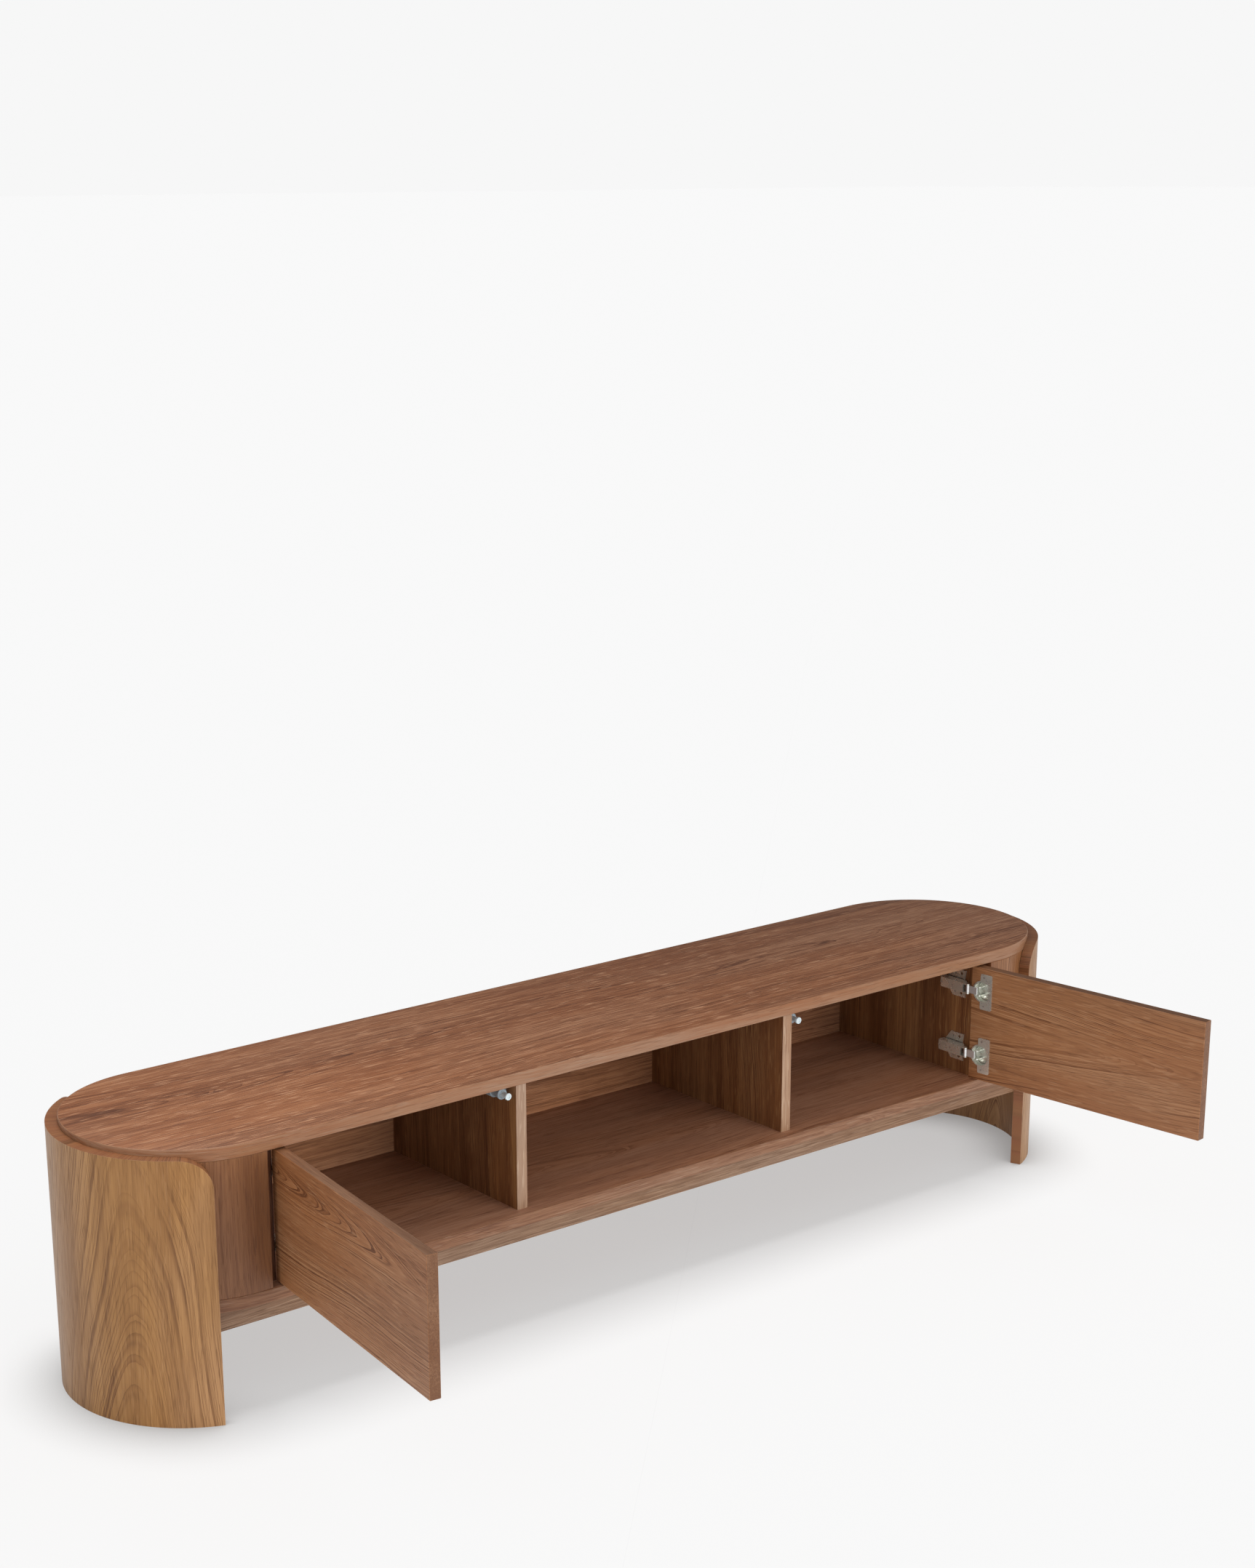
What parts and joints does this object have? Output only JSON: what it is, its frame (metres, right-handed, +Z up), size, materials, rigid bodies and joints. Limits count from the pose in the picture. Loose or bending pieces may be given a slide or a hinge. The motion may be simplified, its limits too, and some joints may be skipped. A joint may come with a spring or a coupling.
{
  "type": "tv stand with doors",
  "caption": "Long low media console with half-round ends on standing shells, an open middle bay and two side bays behind hinged doors.",
  "frame": {"origin": "on the floor, at the centre of the footprint with both doors standing open at their rest angle", "axes": "+X along the length to the right as seen from the doors, -Y out of the front where the doors are, +Z up"},
  "size_m": [1.8, 0.7762, 0.39],
  "materials": {
    "back_veneer": "satin oiled veneer, level grain",
    "door_veneer": "satin oiled veneer, level grain",
    "hinge_nickel": "nickel plated",
    "latch_grey": "smooth moulded",
    "latch_tip": "smooth moulded",
    "plain_beech": "bare",
    "rail_wood": "satin oiled veneer edge",
    "screw_steel": "nickel plated",
    "shell_veneer": "satin oiled veneer, upright grain",
    "upright_veneer": "satin oiled veneer, upright grain",
    "veneered_board": "satin oiled veneer, grain along the length"
  },
  "bodies": {
    "carcass": {"back_panel": "back_veneer", "back_rail": "rail_wood", "back_screws": "screw_steel", "bottom_panel": "veneered_board", "corner_cleats": "plain_beech", "front_rail": "rail_wood", "hinge_arm_screws": "screw_steel", "hinge_plate_screws": "screw_steel", "latch_bracket_screws": "screw_steel", "left_divider": "upright_veneer", "left_end_shell": "shell_veneer", "left_end_wall": "upright_veneer", "left_latch_body": "latch_grey", "left_latch_bracket": "latch_grey", "left_lower_hinge_arm": "hinge_nickel", "left_lower_hinge_plate": "hinge_nickel", "left_side_wall": "upright_veneer", "left_upper_hinge_arm": "hinge_nickel", "left_upper_hinge_plate": "hinge_nickel", "rail_screws": "screw_steel", "right_divider": "upright_veneer", "right_end_shell": "shell_veneer", "right_end_wall": "upright_veneer", "right_latch_body": "latch_grey", "right_latch_bracket": "latch_grey", "right_lower_hinge_arm": "hinge_nickel", "right_lower_hinge_plate": "hinge_nickel", "right_side_wall": "upright_veneer", "right_upper_hinge_arm": "hinge_nickel", "right_upper_hinge_plate": "hinge_nickel", "shell_screws": "screw_steel", "top_panel": "veneered_board", "wood_dowels": "plain_beech"},
    "left_door": {"left_door": "door_veneer", "left_cup_screws": "screw_steel", "left_upper_hinge_cup": "hinge_nickel", "left_lower_hinge_cup": "hinge_nickel"},
    "right_door": {"right_door": "door_veneer", "right_cup_screws": "screw_steel", "right_upper_hinge_cup": "hinge_nickel", "right_lower_hinge_cup": "hinge_nickel"},
    "left_links": {"left_upper_hinge_link": "hinge_nickel", "left_lower_hinge_link": "hinge_nickel"},
    "right_links": {"right_upper_hinge_link": "hinge_nickel", "right_lower_hinge_link": "hinge_nickel"},
    "left_plunger": {"left_latch_plunger": "latch_tip"},
    "right_plunger": {"right_latch_plunger": "latch_tip"}
  },
  "joints": [
    {"name": "left_door_swing", "type": "hinge", "parent": "carcass", "child": "left_door", "pos_m": [-0.6743, 0.03446, 0.2725], "axis": [0, 0, -1], "range_deg": [-97, 8]},
    {"name": "left_link_turn", "type": "hinge", "parent": "carcass", "child": "left_links", "pos_m": [-0.656, 0.04996, 0.2725], "axis": [0, 0, -1], "range_deg": [-8, 78]},
    {"name": "right_door_swing", "type": "hinge", "parent": "carcass", "child": "right_door", "pos_m": [0.6743, 0.03446, 0.2725], "axis": [0, 0, 1], "range_deg": [-97, 8]},
    {"name": "right_link_turn", "type": "hinge", "parent": "carcass", "child": "right_links", "pos_m": [0.656, 0.04996, 0.2725], "axis": [0, 0, 1], "range_deg": [-8, 78]},
    {"name": "left_latch_press", "type": "slide", "parent": "carcass", "child": "left_plunger", "axis": [0, 1, 0], "range_m": [0, 0.011], "stiffness_N_per_m": 250, "springref_m": -0.002},
    {"name": "right_latch_press", "type": "slide", "parent": "carcass", "child": "right_plunger", "axis": [0, 1, 0], "range_m": [0, 0.011], "stiffness_N_per_m": 250, "springref_m": -0.002}
  ],
  "couplings": [
    {"joint": "left_link_turn", "follows": "left_door_swing", "ratio": -0.79},
    {"joint": "right_link_turn", "follows": "right_door_swing", "ratio": -0.79}
  ]
}
